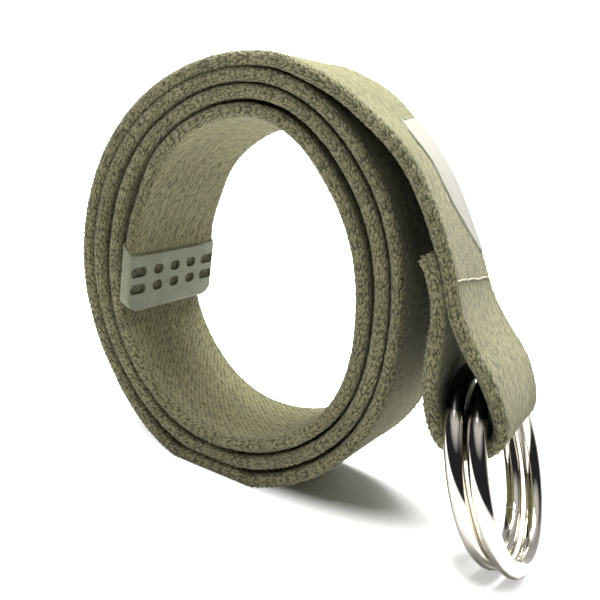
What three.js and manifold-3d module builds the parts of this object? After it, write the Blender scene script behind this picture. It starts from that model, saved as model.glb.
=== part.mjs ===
// A cotton webbing belt, rolled up and standing on its rim, with two wire rings in a sewn loop.
// Millimetres, +Z up. The floor is Z = 0 and the roll's axis runs along Y, with the front at -Y.
// The origin lies on the floor under the middle of the whole belt.
import * as THREE from 'three';
import { mergeVertices } from 'three/addons/utils/BufferGeometryUtils.js';
import Module from 'manifold-3d';

const wasm = await Module();
wasm.setup();

// Webbing: its width, its thickness, and the bevel that stands for the rounded woven edge.
const WIDTH = 38;
const THICK = 3.5;
const EDGE_BEVEL = 0.9;
// The roll and its free end sit this far behind the middle of the rings.
const ROLL_Y = 4.1;
// The whole belt is moved this far along X, which brings its middle over the origin.
const CENTRE_SHIFT = 0.8;

// The roll: middle line of the webbing about the roll's centre, one row for each turn, from the
// inside out. Each row goes clockwise from the left, as seen from the front.
const ROLL = { x: -20, z: 56.1 };
const ROLL_TURNS = [
  { left: 32.8, upperLeft: 38.3, top: 41.1, upperRight: 36.0,
    right: 37.4, lowerRight: 45.8, bottom: 46.5, lowerLeft: 41.6 },
  { left: 39.5, upperLeft: 43.2, top: 45.8, upperRight: 41.5,
    right: 42.3, lowerRight: 50.3, bottom: 51.1, lowerLeft: 45.6 },
  { left: 45.3, upperLeft: 48.2, top: 49.9, upperRight: 46.0,
    right: 46.6, lowerRight: 54.9, bottom: 56.1, lowerLeft: 49.6 },
  { left: 49.3, upperLeft: 52.2, top: 54.6 },
];
const TURN_STEPS = 48;
// Where the roll stands, its whole turns are pressed flat and lie this far above each other.
const WHOLE_TURNS = 3;
const PRESSED_SPACING = 3.85;

// The free end stands straight inside its tip, at the left of the roll. x and z are the end of the
// webbing. tilt is how far it leans to the left as it goes up, skew how far it leans forward, with
// its back edge higher, and lead how much further along X its front edge is. It is pressed thinner
// there. All this is gone an eighth of a turn later, and halfway there the webbing sags inwards.
const FREE_END = { x: -52.4, z: 41.4, tilt: 1.5, skew: 3.5, lead: -1.1, thick: 2.2 };
FREE_END.length = 13;
FREE_END.rows = 3;
FREE_END.sag = 1.2;

// The tail leaves the top of the roll, runs down its right side, turns round the rings and comes
// back up behind itself, where it is sewn. x and z are its middle line. aside is how far it has
// drifted to the front, lead how much further along X its front edge is than its back edge, rise
// how much higher its back edge is, and pinch how far the rings press each edge in.
const TAIL = [
  { x: -9.5, z: 109.0, aside: 0.0, lead: 0.0, rise: 1.2, pinch: 0.0 },
  { x: 0.1, z: 105.7, aside: 0.3, lead: 0.7, rise: 0.8, pinch: 0.0 },
  { x: 7.7, z: 101.2, aside: 0.8, lead: 2.4, rise: 0.3, pinch: 0.0 },
  { x: 15.1, z: 96.1, aside: 1.4, lead: 4.4, rise: 0.0, pinch: 0.0 },
  { x: 21.5, z: 90.3, aside: 2.0, lead: 5.0, rise: 0.0, pinch: 0.0 },
  { x: 26.9, z: 83.6, aside: 2.7, lead: 5.0, rise: 0.0, pinch: 0.0 },
  { x: 31.8, z: 76.4, aside: 3.5, lead: 4.8, rise: 0.0, pinch: 0.0 },
  { x: 36.1, z: 69.1, aside: 3.9, lead: 3.8, rise: 0.0, pinch: 0.0 },
  { x: 39.7, z: 61.8, aside: 4.1, lead: 2.8, rise: 0.0, pinch: 0.0 },
  { x: 44.9, z: 54.8, aside: 4.1, lead: 1.9, rise: 0.0, pinch: 0.0 },
  { x: 51.2, z: 48.2, aside: 4.1, lead: 1.0, rise: 0.0, pinch: 0.3 },
  { x: 55.5, z: 40.9, aside: 4.1, lead: 0.8, rise: 0.0, pinch: 1.6 },
  { x: 56.5, z: 35.8, aside: 4.1, lead: 1.2, rise: 0.0, pinch: 2.4 },
  { x: 53.9, z: 32.0, aside: 4.1, lead: 1.6, rise: 0.0, pinch: 2.3 },
  { x: 49.3, z: 30.1, aside: 4.1, lead: 1.6, rise: 0.0, pinch: 1.8 },
  { x: 44.2, z: 30.9, aside: 4.1, lead: 1.7, rise: 0.0, pinch: 1.6 },
  { x: 41.0, z: 35.1, aside: 4.1, lead: 1.8, rise: 0.0, pinch: 0.6 },
  { x: 38.4, z: 42.2, aside: 4.1, lead: 2.0, rise: 0.0, pinch: 0.0 },
  { x: 36.9, z: 51.7, aside: 4.1, lead: 2.4, rise: 0.0, pinch: 0.0 },
  { x: 36.1, z: 59.9, aside: 4.1, lead: 3.0, rise: 0.0, pinch: 0.0 },
  { x: 33.2, z: 67.2, aside: 4.1, lead: 3.8, rise: 0.0, pinch: 0.0 },
  { x: 29.9, z: 72.3, aside: 4.0, lead: 4.2, rise: 0.0, pinch: 0.0 },
];
const TAIL_STEPS = 2;
// The back edge starts to rise over this many eighths of a turn before the tail.
const RISE_EIGHTHS = 1.5;

// Two closed rings of round wire stand on the floor and lean towards the roll.
const RING = { wire: 4.6, middleRadius: 23, lean: 23.5, z: 0 };
RING.z = RING.middleRadius * Math.cos(THREE.MathUtils.degToRad(RING.lean)) + RING.wire / 2;
const RING_PLACES = [
  { name: 'ring_inner', x: 52.2 },
  { name: 'ring_outer', x: 57.7 },
];
const WIRE_SIDES = 10;
const RING_SIDES = 40;

// The moulded tip: a flat cap over the free end, open at the top, with two rows of holes. Its wall
// towards the next turn stands higher than the other by the lip.
const TIP = { wall: 0.55, clearance: 0.2, length: 16.1, lip: 3.4, floor: 4.3, corner: 5.2, edge: 1.2 };
// The closed end narrows to this thickness over this length, on the face towards the next turn, so
// that its middle shifts inwards. fullness is how low that face stays before it curves in.
const TIP_NOSE = { thick: 1.2, length: 6.2, shift: 1.1, fullness: 3.2 };
const TIP_HOLES = { height: 2.9, rows: [6.6, 11.5], slotWidth: 6.6, ovalWidth: 4.4 };
const TIP_HOLE_PLACES = [
  { across: -15.8, width: TIP_HOLES.slotWidth },
  { across: -7.2, width: TIP_HOLES.ovalWidth },
  { across: 0.4, width: TIP_HOLES.ovalWidth },
  { across: 8.0, width: TIP_HOLES.ovalWidth },
  { across: 16.2, width: TIP_HOLES.slotWidth },
];

// A clear film strip lies on the tail's outer face, from the middle of the webbing to its back
// edge. Its lower end is cut at a slant. start, slant and end are lengths along the tail.
const STRIP = { start: 31, slant: 51, end: 70.5, front: -1.8, back: 17.9, lowerFront: 15.5 };
STRIP.lift = 0.16;
STRIP.thick = 0.2;

const FREE_END_TILT = THREE.MathUtils.degToRad(FREE_END.tilt);
const FREE_END_SKEW = THREE.MathUtils.degToRad(FREE_END.skew);

const WEBBING_COLOUR = 0x8f8a66;
const TIP_COLOUR = 0x7d8064;
const METAL_COLOUR = 0xd8d6d0;
const FILM_COLOUR = 0xe9e8de;

// Catmull-Rom value between b and c, with a and d the neighbours, at share t of the way.
function between(a, b, c, d, t) {
  const slopeB = (c - a) / 2;
  const slopeC = (d - b) / 2;
  const bend = 3 * (c - b) - 2 * slopeB - slopeC;
  const close = 2 * (b - c) + slopeB + slopeC;
  return b + t * (slopeB + t * (bend + t * close));
}

// A row at place u along a list of rows with the same named columns. Past the list's two ends
// the neighbours are mirrored.
function rowAt(rows, u) {
  const last = rows.length - 1;
  const i = Math.min(Math.floor(u), last - 1);
  const row = {};
  for (const key of Object.keys(rows[0])) {
    const b = rows[i][key];
    const c = rows[i + 1][key];
    const a = i > 0 ? rows[i - 1][key] : 2 * b - c;
    const d = i + 2 <= last ? rows[i + 2][key] : 2 * c - b;
    row[key] = between(a, b, c, d, u - i);
  }
  return row;
}

// How much of the free end's own shape is left at a place along the roll, in eighths of a turn.
function endShare(eighth) {
  return Math.max(0, 1 - eighth) ** 2;
}

// The middle line of the rolled part: the radius changes smoothly from one eighth of a turn to
// the next. Where the roll stands on the floor, each turn is pressed flat above the one outside.
// A pressed stretch is straight, so only its two ends are kept.
function rollRows() {
  const eighths = ROLL_TURNS.flatMap((turn) => Object.values(turn)).map((radius) => ({ radius }));
  const last = eighths.length - 1;
  const stepsPerEighth = TURN_STEPS / 8;
  const rows = [];
  for (let step = 0; step <= last * stepsPerEighth; step += 1) {
    const eighth = step / stepsPerEighth;
    const angle = (eighth * Math.PI) / 4;
    const sag = eighth < 1 ? FREE_END.sag * Math.sin(Math.PI * eighth) ** 2 : 0;
    const radius = rowAt(eighths, eighth).radius - sag;
    const climb = Math.max(0, 1 - (last - eighth) / RISE_EIGHTHS);
    const turn = Math.floor(eighth / 8) + 1;
    const lowest = THICK / 2 + Math.max(0, WHOLE_TURNS - turn) * PRESSED_SPACING;
    const share = endShare(eighth);
    rows.push({
      x: ROLL.x - radius * Math.cos(angle),
      z: Math.max(ROLL.z + radius * Math.sin(angle), lowest),
      aside: FREE_END.length * Math.sin(FREE_END_SKEW) * share,
      lead: FREE_END.lead * share,
      rise: WIDTH * Math.sin(FREE_END_SKEW) * share + TAIL[0].rise * climb,
      thick: THICK + (FREE_END.thick - THICK) * share,
      pinch: 0,
    });
  }
  return rows.filter((row, i) => rows[i - 1]?.z !== row.z || rows[i + 1]?.z !== row.z);
}

// The straight stretch inside the tip, up to where the roll begins.
function freeEndRows() {
  const rows = [];
  for (let i = 0; i < FREE_END.rows; i += 1) {
    const up = (i / (FREE_END.rows - 1)) * FREE_END.length;
    rows.push({
      x: FREE_END.x - up * Math.sin(FREE_END_TILT),
      z: FREE_END.z + up * Math.cos(FREE_END_TILT),
      aside: up * Math.sin(FREE_END_SKEW),
      lead: FREE_END.lead,
      rise: WIDTH * Math.sin(FREE_END_SKEW),
      thick: FREE_END.thick,
      pinch: 0,
    });
  }
  return rows;
}

// The tail's middle line, smoothed between its rows and starting from the end of the roll.
function tailRows(rollEnd) {
  const rows = [...rollEnd, ...TAIL.map((row) => ({ ...row, thick: THICK }))];
  const first = rollEnd.length - 1;
  const smooth = [];
  for (let step = 1; step <= TAIL.length * TAIL_STEPS; step += 1) {
    smooth.push(rowAt(rows, first + step / TAIL_STEPS));
  }
  return smooth;
}

// Each station has the webbing's middle, the direction out of its outer face, and how far along
// the tail it lies.
function stations() {
  const roll = rollRows();
  const rows = [...freeEndRows(), ...roll, ...tailRows([roll[roll.length - 3], roll[roll.length - 1]])];
  const tailStart = FREE_END.rows + roll.length - 1;
  let along = 0;
  return rows.map((row, i) => {
    const before = rows[Math.max(i - 1, 0)];
    const after = rows[Math.min(i + 1, rows.length - 1)];
    const run = new THREE.Vector3(after.x - before.x, 0, after.z - before.z).normalize();
    if (i > tailStart) along += Math.hypot(row.x - before.x, row.z - before.z);
    return {
      middle: new THREE.Vector3(row.x, ROLL_Y - row.aside, row.z),
      out: new THREE.Vector3(-run.z, 0, run.x),
      lead: row.lead,
      rise: row.rise,
      thick: row.thick,
      pinch: row.pinch,
      along: i < tailStart ? -1 : along,
    };
  });
}

// A point of the webbing: across is measured along its width, up out of its outer face.
function webbingPoint(station, across, up) {
  const point = station.middle.clone().addScaledVector(station.out, up);
  point.y += across;
  point.x -= (station.lead * across) / WIDTH;
  point.z += (station.rise * across) / WIDTH;
  return point;
}

// A closed solid through a row of sections. Each is a loop of the same number of points, which
// goes clockwise as seen from the end of the row.
function solidThrough(sections) {
  const size = sections[0].length;
  const points = sections.flat();
  const faces = [];
  for (let i = 0; i + 1 < sections.length; i += 1) {
    for (let j = 0; j < size; j += 1) {
      const a = i * size + j;
      const b = i * size + ((j + 1) % size);
      faces.push(a, b + size, b, a, a + size, b + size);
    }
  }
  const end = (sections.length - 1) * size;
  for (let j = 1; j + 1 < size; j += 1) {
    faces.push(0, j, j + 1);
    faces.push(end, end + j + 1, end + j);
  }
  const geometry = new THREE.BufferGeometry();
  geometry.setAttribute('position', new THREE.Float32BufferAttribute(points.flatMap((p) => p.toArray()), 3));
  geometry.setIndex(faces);
  geometry.computeVertexNormals();
  return geometry;
}

// The webbing's section is a flat bar with bevelled edges.
function webbingSection(station) {
  const edge = WIDTH / 2 - station.pinch;
  const face = station.thick / 2;
  const corners = [
    [edge - EDGE_BEVEL, face],
    [edge, face - EDGE_BEVEL],
    [edge, EDGE_BEVEL - face],
    [edge - EDGE_BEVEL, -face],
    [EDGE_BEVEL - edge, -face],
    [-edge, EDGE_BEVEL - face],
    [-edge, face - EDGE_BEVEL],
    [EDGE_BEVEL - edge, face],
  ];
  return corners.map(([across, up]) => webbingPoint(station, across, up));
}

// The film's section is a thin bar on the webbing's outer face. Its front edge runs straight and
// then slants towards the back edge.
function stripSection(station) {
  const share = Math.max(0, (station.along - STRIP.slant) / (STRIP.end - STRIP.slant));
  const front = STRIP.front + share * (STRIP.lowerFront - STRIP.front);
  const low = THICK / 2 + STRIP.lift;
  const corners = [
    [STRIP.back, low + STRIP.thick],
    [STRIP.back, low],
    [front, low],
    [front, low + STRIP.thick],
  ];
  return corners.map(([across, up]) => webbingPoint(station, across, up));
}

function material(color, roughness, metalness) {
  return new THREE.MeshStandardMaterial({ color, roughness, metalness });
}

function makeStrap(line) {
  const strap = new THREE.Mesh(solidThrough(line.map(webbingSection)), material(WEBBING_COLOUR, 0.95, 0));
  strap.name = 'webbing_strap';
  return strap;
}

function makeStrip(line) {
  const covered = line.filter((station) => station.along >= STRIP.start && station.along <= STRIP.end);
  const strip = new THREE.Mesh(solidThrough(covered.map(stripSection)), material(FILM_COLOUR, 0.3, 0));
  strip.name = 'film_strip';
  return strip;
}

function makeRing({ name, x }) {
  const shape = new THREE.TorusGeometry(RING.middleRadius, RING.wire / 2, WIRE_SIDES, RING_SIDES);
  const ring = new THREE.Mesh(shape, material(METAL_COLOUR, 0.12, 1));
  ring.name = name;
  ring.position.set(x, 0, RING.z);
  ring.rotation.y = THREE.MathUtils.degToRad(90 - RING.lean);
  return ring;
}

// A mesh of three.js as a solid that can be cut.
function toSolid(geometry) {
  const bare = geometry.clone();
  bare.deleteAttribute('normal');
  bare.deleteAttribute('uv');
  const merged = mergeVertices(bare, 1e-4);
  const vertProperties = new Float32Array(merged.attributes.position.array);
  const triVerts = new Uint32Array(merged.index.array);
  return new wasm.Manifold(new wasm.Mesh({ numProp: 3, vertProperties, triVerts }));
}

function toGeometry(solid) {
  const mesh = solid.getMesh();
  const geometry = new THREE.BufferGeometry();
  geometry.setAttribute('position', new THREE.Float32BufferAttribute(mesh.vertProperties, 3));
  geometry.setIndex(Array.from(mesh.triVerts));
  geometry.computeVertexNormals();
  return geometry;
}

// A slot with round ends through the tip's whole thickness, drawn across and up.
function holeCutter(across, up, width, depth) {
  const radius = TIP_HOLES.height / 2;
  const reach = width / 2 - radius;
  const outline = new THREE.Shape();
  outline.absarc(reach, 0, radius, -Math.PI / 2, Math.PI / 2);
  outline.absarc(-reach, 0, radius, Math.PI / 2, (3 * Math.PI) / 2);
  return toSolid(extrude(outline, depth).translate(across, up, 0));
}

// A plain extrusion of an outline, centred on its own plane.
function extrude(outline, depth) {
  const geometry = new THREE.ExtrudeGeometry(outline, { depth, bevelEnabled: false, curveSegments: 8 });
  return geometry.translate(0, 0, -depth / 2);
}

// The tip's front view, across the webbing and up from the closed end, with round lower corners.
function tipFront(width, depth) {
  const half = width / 2;
  const outline = new THREE.Shape();
  const top = TIP.length + TIP.lip;
  outline.moveTo(half, top);
  outline.lineTo(-half, top);
  outline.lineTo(-half, TIP.corner);
  outline.absarc(TIP.corner - half, TIP.corner, TIP.corner, Math.PI, 1.5 * Math.PI);
  outline.absarc(half - TIP.corner, TIP.corner, TIP.corner, 1.5 * Math.PI, 2 * Math.PI);
  outline.closePath();
  return toSolid(extrude(outline, depth));
}

// The tip's side view, through the webbing and up, with its lip and its narrowed nose.
function tipSide(thick, depth) {
  const half = thick / 2;
  const nose = TIP_NOSE.thick / 2;
  const outline = new THREE.Shape();
  outline.moveTo(half, TIP.length);
  outline.lineTo(-half, TIP.length + TIP.lip);
  outline.lineTo(-half, TIP_NOSE.length);
  outline.quadraticCurveTo(-half, TIP_NOSE.fullness, TIP_NOSE.shift - nose, 0);
  outline.lineTo(TIP_NOSE.shift + nose, 0);
  outline.lineTo(half, nose);
  outline.closePath();
  return toSolid(extrude(outline, depth).rotateY(-Math.PI / 2));
}

// The tip's plan, across the webbing and through it, with round edges.
function tipPlan(width, thick, depth) {
  const x = width / 2 - TIP.edge;
  const y = thick / 2 - TIP.edge;
  const outline = new THREE.Shape();
  outline.absarc(x, y, TIP.edge, 0, Math.PI / 2);
  outline.absarc(-x, y, TIP.edge, Math.PI / 2, Math.PI);
  outline.absarc(-x, -y, TIP.edge, Math.PI, 1.5 * Math.PI);
  outline.absarc(x, -y, TIP.edge, 1.5 * Math.PI, 2 * Math.PI);
  outline.closePath();
  return toSolid(extrude(outline, depth).rotateX(Math.PI / 2));
}

// The tip is drawn upright, x across the webbing and z through it, and then stood over the end.
function makeTip() {
  const width = WIDTH + 2 * (TIP.clearance + TIP.wall);
  const thick = FREE_END.thick + 2 * (TIP.clearance + TIP.wall);
  const pocketWidth = WIDTH + 2 * TIP.clearance;
  const pocketThick = FREE_END.thick + 2 * TIP.clearance;
  const pocket = new THREE.BoxGeometry(pocketWidth, 2 * TIP.length, pocketThick);
  pocket.translate(0, TIP.length + TIP.floor, 0);
  let tip = tipFront(width, 2 * thick).intersect(tipSide(thick, 2 * width));
  tip = tip.intersect(tipPlan(width, thick, 3 * TIP.length)).subtract(toSolid(pocket));
  for (const up of TIP_HOLES.rows) {
    for (const { across, width: holeWidth } of TIP_HOLE_PLACES) {
      tip = tip.subtract(holeCutter(across, up, holeWidth, 2 * thick));
    }
  }
  const mesh = new THREE.Mesh(toGeometry(tip), material(TIP_COLOUR, 0.55, 0));
  mesh.name = 'end_tip';
  mesh.rotation.set(Math.PI / 2, Math.PI / 2, 0);
  mesh.position.z = -TIP.floor - TIP.clearance;
  const stand = new THREE.Group();
  stand.position.set(FREE_END.x, ROLL_Y, FREE_END.z);
  stand.rotation.set(FREE_END_SKEW, -FREE_END_TILT, FREE_END.lead / WIDTH);
  stand.add(mesh);
  return stand;
}

const line = stations();
const belt = new THREE.Group();
belt.name = 'webbing_belt';
belt.position.x = CENTRE_SHIFT;
belt.add(makeStrap(line));
belt.add(makeTip());
for (const place of RING_PLACES) belt.add(makeRing(place));
belt.add(makeStrip(line));

export default belt;
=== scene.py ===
"""A rolled cotton webbing belt with two wire rings, dressed for a Blender 4.5 render.

It follows the belt as it is put together: the webbing, the moulded tip, the rings, the seam that
holds them, the webbing's frayed end and the film strip, and then the table that they stand on.
Sizes are in millimetres until they go into a mesh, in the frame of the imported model.
"""

import math

import bmesh
import bpy
import numpy as np
from mathutils import Matrix, Vector


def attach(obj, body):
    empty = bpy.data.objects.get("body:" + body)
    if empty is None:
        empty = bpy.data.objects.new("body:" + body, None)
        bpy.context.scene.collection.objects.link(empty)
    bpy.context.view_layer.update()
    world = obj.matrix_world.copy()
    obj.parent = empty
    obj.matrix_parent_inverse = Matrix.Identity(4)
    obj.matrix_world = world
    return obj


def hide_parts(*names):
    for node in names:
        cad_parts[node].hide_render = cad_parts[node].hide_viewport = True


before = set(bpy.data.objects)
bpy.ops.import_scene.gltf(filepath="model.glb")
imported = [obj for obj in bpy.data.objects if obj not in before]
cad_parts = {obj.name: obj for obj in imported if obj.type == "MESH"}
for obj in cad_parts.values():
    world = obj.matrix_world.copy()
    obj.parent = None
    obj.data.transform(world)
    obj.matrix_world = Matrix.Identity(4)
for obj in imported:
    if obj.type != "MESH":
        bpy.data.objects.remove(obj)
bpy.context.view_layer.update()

# The webbing.
# One length of olive cotton webbing, woven thick on a narrow loom with round selvedges. It is
# rolled up from its free end, and its other end turns round the rings and is sewn back on itself.
MM = 0.001
WEBBING_WIDTH = 38.0
WEBBING_THICK = 3.5
SELVEDGE_ROUND = 1.55
ROLL_SETBACK = 4.1
# The part's source moves the whole belt this far along X.
CENTRE_SHIFT = 0.8

# The middle line of the roll about its centre, clockwise from the left, one line for each turn
# from the inside out: left, upper left, top, upper right, right, lower right, bottom, lower left.
ROLL_CENTRE = (-20.0, 56.1)
ROLL_RADII = [
    32.8, 38.3, 41.1, 36.0, 37.4, 45.8, 46.5, 41.6,
    39.5, 43.2, 45.8, 41.5, 42.3, 50.3, 51.1, 45.6,
    45.3, 48.2, 49.9, 46.0, 46.6, 54.9, 56.1, 49.6,
    49.3, 52.2, 54.6,
]
# Where the roll stands, its whole turns are pressed flat and lie this far above each other.
WHOLE_TURNS = 3
PRESSED_SPACING = 3.85

# The free end stands straight in the tip. Its place is the end of the webbing.
FREE_END = (-52.4, 41.4)
FREE_END_TILT = math.radians(1.5)
FREE_END_SKEW = math.radians(3.5)
FREE_END_LEAD = -1.1
FREE_END_THICK = 2.2
FREE_END_LENGTH = 13.0
FREE_END_SAG = 1.2

# The tail from the top of the roll down round the rings and back up behind itself. Columns: x and
# z of the middle line, drift to the front, lead of the front edge along X, rise of the back edge,
# and how far the rings press each edge in.
TAIL = np.array([
    (-9.5, 109.0, 0.0, 0.0, 1.2, 0.0),
    (0.1, 105.7, 0.3, 0.7, 0.8, 0.0),
    (7.7, 101.2, 0.8, 2.4, 0.3, 0.0),
    (15.1, 96.1, 1.4, 4.4, 0.0, 0.0),
    (21.5, 90.3, 2.0, 5.0, 0.0, 0.0),
    (26.9, 83.6, 2.7, 5.0, 0.0, 0.0),
    (31.8, 76.4, 3.5, 4.8, 0.0, 0.0),
    (36.1, 69.1, 3.9, 3.8, 0.0, 0.0),
    (39.7, 61.8, 4.1, 2.8, 0.0, 0.0),
    (44.9, 54.8, 4.1, 1.9, 0.0, 0.0),
    (51.2, 48.2, 4.1, 1.0, 0.0, 0.3),
    (55.5, 40.9, 4.1, 0.8, 0.0, 1.6),
    (56.5, 35.8, 4.1, 1.2, 0.0, 2.4),
    (53.9, 32.0, 4.1, 1.6, 0.0, 2.3),
    (49.3, 30.1, 4.1, 1.6, 0.0, 1.8),
    (44.2, 30.9, 4.1, 1.7, 0.0, 1.6),
    (41.0, 35.1, 4.1, 1.8, 0.0, 0.6),
    (38.4, 42.2, 4.1, 2.0, 0.0, 0.0),
    (36.9, 51.7, 4.1, 2.4, 0.0, 0.0),
    (36.1, 59.9, 4.1, 3.0, 0.0, 0.0),
    (33.2, 67.2, 4.1, 3.8, 0.0, 0.0),
    (29.9, 72.3, 4.0, 4.2, 0.0, 0.0),
])
# The back edge starts to rise over this many eighths of a turn before the tail.
RISE_EIGHTHS = 1.5
ROW_SPACING = 0.33
# The woven edges are a little thicker than the faces, by this much on each side.
EDGE_SWELL = 0.2
LINE_SMOOTHING = 4
# Where points lie across a face, as shares of its half width, and how many steps an edge has.
FACE_SHARES = np.array([-1.0, -0.93, -0.5, 0.5, 0.93])
SELVEDGE_STEPS = 8
# The weft turns back at each edge and stands out there in rows of small uneven knobs. A knob is at
# least the lowest share of the full height, and strays from its place by a share of half a pitch.
KNOB_PITCH = 1.4
KNOB_HEIGHT = 0.24
KNOB_LOWEST = 0.15
KNOB_STRAY = 0.35
KNOB_ROWS = 6

# This much of the free end lies in the tip and takes painted shade, which fades to full light
# over the next stretch.
COVERED_LENGTH = 10.0
PAINTED_SHADE_FADE = 1.0
# Where along the tail the rings lie in the loop, and how far to each side its inside takes
# painted shade.
LOOP_MIDDLE = 112.0
LOOP_REACH = 34.0
# The same painted shade for the narrow gap between the roll and the tail, which lies a whole turn
# before the tail. From this darkness at its middle, where 1 is full, it falls by 1 over each reach.
GAP_MIDDLE = -262.0
GAP_REACH = 45.0
GAP_DARKNESS = 1.3
# The other end is cut and not hemmed. It swells by this much, over about this length.
LOOSE_SWELL = 0.35
LOOSE_LENGTH = 1.3

# Columns of a row of the webbing's line.
X, Z, DRIFT, LEAD, RISE, PINCH, THICK = range(7)
COLUMNS = THICK + 1


def smooth_values(knots, places):
    """Catmull-Rom values of a table of knots at fractional places along it.

    Between knots b and c, with neighbours a and d, the value is a cubic whose slopes at b and c
    are (c - a) / 2 and (d - b) / 2. Past the ends of the table the neighbours are mirrored.
    """
    last = len(knots) - 1
    i = np.minimum(np.floor(places).astype(int), last - 1)
    t = (places - i)[:, None]
    b = knots[i]
    c = knots[i + 1]
    a = np.where((i > 0)[:, None], knots[np.maximum(i - 1, 0)], 2 * b - c)
    d = np.where((i + 2 <= last)[:, None], knots[np.minimum(i + 2, last)], 2 * c - b)
    slope_b = (c - a) / 2
    slope_c = (d - b) / 2
    bend = 3 * (c - b) - 2 * slope_b - slope_c
    close = 2 * (b - c) + slope_b + slope_c
    return b + t * (slope_b + t * (bend + t * close))


def rolled_rows(eighths):
    """Rows of the rolled part at places given in eighths of a turn.

    A point is the roll's centre plus a radius that changes smoothly with the angle. The free
    end's own drift, lead, rise and thinness fade as the square of what is left of the first
    eighth. Where the roll stands on the floor, each turn is pressed flat above the one outside.
    """
    radii = np.array(ROLL_RADII)[:, None]
    last = len(ROLL_RADII) - 1
    angle = eighths * math.pi / 4
    sag = np.where(eighths < 1, FREE_END_SAG * np.sin(math.pi * eighths) ** 2, 0)
    radius = smooth_values(radii, eighths)[:, 0] - sag
    end_share = np.maximum(0, 1 - eighths) ** 2
    climb = np.maximum(0, 1 - (last - eighths) / RISE_EIGHTHS)
    turn = np.floor(eighths / 8) + 1
    lowest = WEBBING_THICK / 2 + np.maximum(0, WHOLE_TURNS - turn) * PRESSED_SPACING
    rows = np.zeros((len(eighths), COLUMNS))
    rows[:, X] = ROLL_CENTRE[0] - radius * np.cos(angle)
    rows[:, Z] = np.maximum(ROLL_CENTRE[1] + radius * np.sin(angle), lowest)
    rows[:, DRIFT] = FREE_END_LENGTH * math.sin(FREE_END_SKEW) * end_share
    rows[:, LEAD] = FREE_END_LEAD * end_share
    rows[:, RISE] = WEBBING_WIDTH * math.sin(FREE_END_SKEW) * end_share + TAIL[0, RISE] * climb
    rows[:, THICK] = WEBBING_THICK + (FREE_END_THICK - WEBBING_THICK) * end_share
    return rows


def webbing_line():
    """The whole middle line in even steps, with how far each row lies along the tail.

    The straight free end, the roll and the tail follow each other. The line is then spaced
    evenly by its length, and smoothed a little so that no joint shows.
    """
    up = np.linspace(0, FREE_END_LENGTH, 9)
    free = np.zeros((len(up), COLUMNS))
    free[:, X] = FREE_END[0] - up * math.sin(FREE_END_TILT)
    free[:, Z] = FREE_END[1] + up * math.cos(FREE_END_TILT)
    free[:, DRIFT] = up * math.sin(FREE_END_SKEW)
    free[:, LEAD] = FREE_END_LEAD
    free[:, RISE] = WEBBING_WIDTH * math.sin(FREE_END_SKEW)
    free[:, THICK] = FREE_END_THICK
    last = len(ROLL_RADII) - 1
    roll = rolled_rows(np.linspace(0, last, 40 * last + 1))
    lead_in = rolled_rows(np.array([last - 1 / 3, float(last)]))
    knots = np.column_stack([TAIL, np.full(len(TAIL), WEBBING_THICK)])
    tail_places = np.linspace(1, len(TAIL) + 1, 25 * len(TAIL) + 1)
    tail = smooth_values(np.vstack([lead_in, knots]), tail_places)
    rows = np.vstack([free, roll, tail[1:]])
    tail_start = len(free) + len(roll) - 1
    steps = np.hypot(np.diff(rows[:, X]), np.diff(rows[:, Z]))
    keep = np.concatenate([[True], steps > 1e-6])
    along = np.concatenate([[0], np.cumsum(steps)])
    even = np.linspace(0, along[-1], int(along[-1] / ROW_SPACING))
    line = np.column_stack([np.interp(even, along[keep], column) for column in rows[keep].T])
    reach = np.arange(-4 * LINE_SMOOTHING, 4 * LINE_SMOOTHING + 1)
    weights = np.exp(-0.5 * (reach / LINE_SMOOTHING) ** 2)
    weights /= weights.sum()
    padded = np.vstack([
        2 * line[0] - line[len(reach) // 2:0:-1],
        line,
        2 * line[-1] - line[-2:-len(reach) // 2 - 1:-1],
    ])
    smooth = np.column_stack([np.convolve(column, weights, "valid") for column in padded.T])
    return smooth, even, even - along[tail_start]


def out_of_face(line):
    """The direction out of the webbing's outer face, at right angles to its middle line."""
    run = np.column_stack([np.gradient(line[:, X]), np.gradient(line[:, Z])])
    run /= np.linalg.norm(run, axis=1)[:, None]
    return np.column_stack([-run[:, 1], np.zeros(len(run)), run[:, 0]])


def webbing_points(rows, out, across, up):
    """Points in metres at distances across the webbing and up out of its outer face.

    A point is a row of the middle line plus up along the outward direction, plus across along Y,
    with the front edge leading along X and the back edge rising in proportion to across. Knobs
    that would dip into the table are pressed flat on it.
    """
    middle = np.column_stack([rows[:, X], ROLL_SETBACK - rows[:, DRIFT], rows[:, Z]])
    points = middle[:, None, :] + out[:, None, :] * up[..., None]
    points[..., 1] += across
    points[..., 0] += CENTRE_SHIFT - rows[:, LEAD, None] * across / WEBBING_WIDTH
    points[..., 2] += rows[:, RISE, None] * across / WEBBING_WIDTH
    points[..., 2] = np.maximum(points[..., 2], 0)
    return points * MM


def knob_heights(length_along, seed):
    """How far the knobs of one edge stand out, for each row and each step round the edge.

    Heights are random knots that rise and fall in turn, about half a pitch apart along the edge.
    Each of the rows of knobs round the edge is shifted by a random part of the pitch.
    """
    draw = np.random.default_rng(seed)
    count = int(length_along[-1] / KNOB_PITCH * 2) + 3
    rows = []
    up_and_down = np.where(np.arange(count) % 2 == 0, 1, -1)
    for _ in range(KNOB_ROWS):
        half_pitches = np.arange(count) - 2 * draw.uniform() + draw.uniform(-KNOB_STRAY, KNOB_STRAY, count)
        heights = draw.uniform(KNOB_LOWEST, 1.0, count) * up_and_down
        rows.append(np.interp(length_along, half_pitches * KNOB_PITCH / 2, heights))
    place = np.linspace(0, KNOB_ROWS - 1, SELVEDGE_STEPS)
    low = np.minimum(place.astype(int), KNOB_ROWS - 2)
    rows = np.array(rows)
    return (rows[low] + (rows[low + 1] - rows[low]) * (place - low)[:, None]).T


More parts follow.
